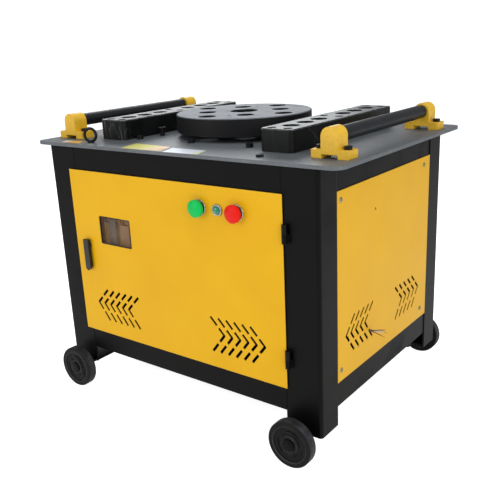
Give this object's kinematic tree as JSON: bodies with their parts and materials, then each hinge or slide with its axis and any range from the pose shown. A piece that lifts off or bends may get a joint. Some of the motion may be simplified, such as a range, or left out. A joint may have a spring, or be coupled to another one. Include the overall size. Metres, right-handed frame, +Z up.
{
  "type": "rebar bending machine",
  "caption": "Rebar bending machine: steel table with a turning peg disc, hole blocks and rollers on a wheeled cabinet with a yellow door",
  "frame": {"origin": "On the floor, in the middle between the four wheels", "axes": "+X to the right with the door in front, +Y to the back, +Z up"},
  "size_m": [0.908, 0.714, 0.7279],
  "materials": {
    "frame_black": "semi gloss",
    "sheet_yellow": "semi gloss",
    "housing_yellow": "satin",
    "table_steel": "worn satin",
    "disc_steel": "turned, oiled",
    "block_steel": "worn dark oxide",
    "roller_steel": "dark, oiled",
    "black_oxide": "black oxide",
    "zinc_steel": "zinc plated",
    "machined_steel": "machined",
    "gear_steel": "oiled",
    "bearing_chrome": "ground",
    "cast_grey": "rough cast",
    "motor_blue": "satin",
    "copper_iron": "laminated core with winding",
    "wheel_black": "moulded",
    "belt_rubber": "matt",
    "grommet_rubber": "matt",
    "board_brown": "laminate",
    "contactor_grey": "moulded",
    "window_clear": "clear, tinted by the space behind",
    "handle_black": "moulded",
    "switch_chrome": "polished ring",
    "button_green": "moulded",
    "button_red": "moulded",
    "lamp_teal": "moulded lens",
    "lead_sheath": "matt sheath"
  },
  "bodies": {
    "frame": {"front_legs": "frame_black", "rear_legs": "frame_black", "frame_rails": "frame_black", "table_plate": "table_steel", "right_panel": "sheet_yellow", "left_panel": "sheet_yellow", "rear_panel": "sheet_yellow", "panel_screws": "zinc_steel", "hinge_posts": "frame_black", "wheel_axles": "frame_black", "wheel_washers": "frame_black", "motor_rails": "frame_black", "motor_bracket": "frame_black", "motor_housing": "motor_blue", "motor_end_shields": "motor_blue", "stator": "copper_iron", "fan_cover": "motor_blue", "drive_belts": "belt_rubber", "lower_plate": "cast_grey", "spacer_tubes": "zinc_steel", "drive_bolts": "black_oxide", "bearing_housings": "cast_grey", "bearings": "bearing_chrome", "electrical_board": "board_brown", "contactors": "contactor_grey", "block_left": "block_steel", "block_right": "block_steel", "block_bolts": "black_oxide", "roller_housings": "housing_yellow", "housing_bolts": "black_oxide", "lifting_eye": "black_oxide", "table_studs": "black_oxide", "lead_clip": "grommet_rubber", "supply_lead": "lead_sheath"},
    "door": {"door_panel": "sheet_yellow", "door_stiffener": "sheet_yellow", "door_window": "window_clear", "hinge_leaves": "housing_yellow", "switch_bodies": "switch_chrome", "pilot_lamp": "lamp_teal"},
    "green_button": {"green_button": "button_green"},
    "red_button": {"red_button": "button_red"},
    "latch": {"latch_handle": "handle_black", "latch_cam": "zinc_steel"},
    "disc": {"working_disc": "disc_steel", "main_shaft": "machined_steel", "main_gear": "gear_steel"},
    "countershaft": {"counter_shaft": "machined_steel", "counter_gear": "gear_steel"},
    "input_shaft": {"input_shaft": "machined_steel", "driven_pulley": "cast_grey"},
    "rotor": {"motor_rotor": "machined_steel", "motor_pulley": "cast_grey", "motor_fan": "contactor_grey"},
    "wheel_fl": {"wheel_front_left": "wheel_black"},
    "wheel_fr": {"wheel_front_right": "wheel_black"},
    "wheel_rl": {"wheel_rear_left": "wheel_black"},
    "wheel_rr": {"wheel_rear_right": "wheel_black"},
    "roller_l": {"roller_left": "roller_steel"},
    "roller_r": {"roller_right": "roller_steel"}
  },
  "joints": [
    {"name": "door_hinge", "type": "hinge", "parent": "frame", "child": "door", "pos_m": [0.327, -0.313, 0.37], "axis": [0, 0, 1], "range_deg": [0, 110]},
    {"name": "green_push", "type": "slide", "parent": "door", "child": "green_button", "axis": [0, 1, 0], "range_m": [0, 0.004], "stiffness_N_per_m": 800},
    {"name": "red_push", "type": "slide", "parent": "door", "child": "red_button", "axis": [0, 1, 0], "range_m": [0, 0.004], "stiffness_N_per_m": 800},
    {"name": "latch_turn", "type": "hinge", "parent": "door", "child": "latch", "pos_m": [-0.288, -0.312, 0.405], "axis": [0, -1, 0], "range_deg": [0, 90]},
    {"name": "disc_spin", "type": "hinge", "parent": "frame", "child": "disc", "pos_m": [0, 0, 0.69], "axis": [0, 0, 1], "continuous": true},
    {"name": "counter_spin", "type": "hinge", "parent": "frame", "child": "countershaft", "pos_m": [-0.16539, 0.0602, 0.59], "axis": [0, 0, 1], "continuous": true},
    {"name": "input_spin", "type": "hinge", "parent": "frame", "child": "input_shaft", "pos_m": [-0.23214, -0.05542, 0.56], "axis": [0, 0, 1], "continuous": true},
    {"name": "motor_spin", "type": "hinge", "parent": "frame", "child": "rotor", "pos_m": [0.215, -0.02, 0.32], "axis": [0, 0, 1], "continuous": true},
    {"name": "wheel_fl_roll", "type": "hinge", "parent": "frame", "child": "wheel_fl", "pos_m": [-0.35, -0.341, 0.055], "axis": [0, 1, 0], "continuous": true},
    {"name": "wheel_fr_roll", "type": "hinge", "parent": "frame", "child": "wheel_fr", "pos_m": [0.35, -0.341, 0.055], "axis": [0, 1, 0], "continuous": true},
    {"name": "wheel_rl_roll", "type": "hinge", "parent": "frame", "child": "wheel_rl", "pos_m": [-0.35, 0.341, 0.055], "axis": [0, 1, 0], "continuous": true},
    {"name": "wheel_rr_roll", "type": "hinge", "parent": "frame", "child": "wheel_rr", "pos_m": [0.35, 0.341, 0.055], "axis": [0, 1, 0], "continuous": true},
    {"name": "roller_l_roll", "type": "hinge", "parent": "frame", "child": "roller_l", "pos_m": [-0.392, 0, 0.708], "axis": [0, 1, 0], "continuous": true},
    {"name": "roller_r_roll", "type": "hinge", "parent": "frame", "child": "roller_r", "pos_m": [0.392, 0, 0.708], "axis": [0, 1, 0], "continuous": true}
  ],
  "couplings": [
    {"joint": "counter_spin", "follows": "disc_spin", "ratio": -4.5},
    {"joint": "input_spin", "follows": "disc_spin", "ratio": 19.059},
    {"joint": "motor_spin", "follows": "disc_spin", "ratio": 38.118}
  ]
}
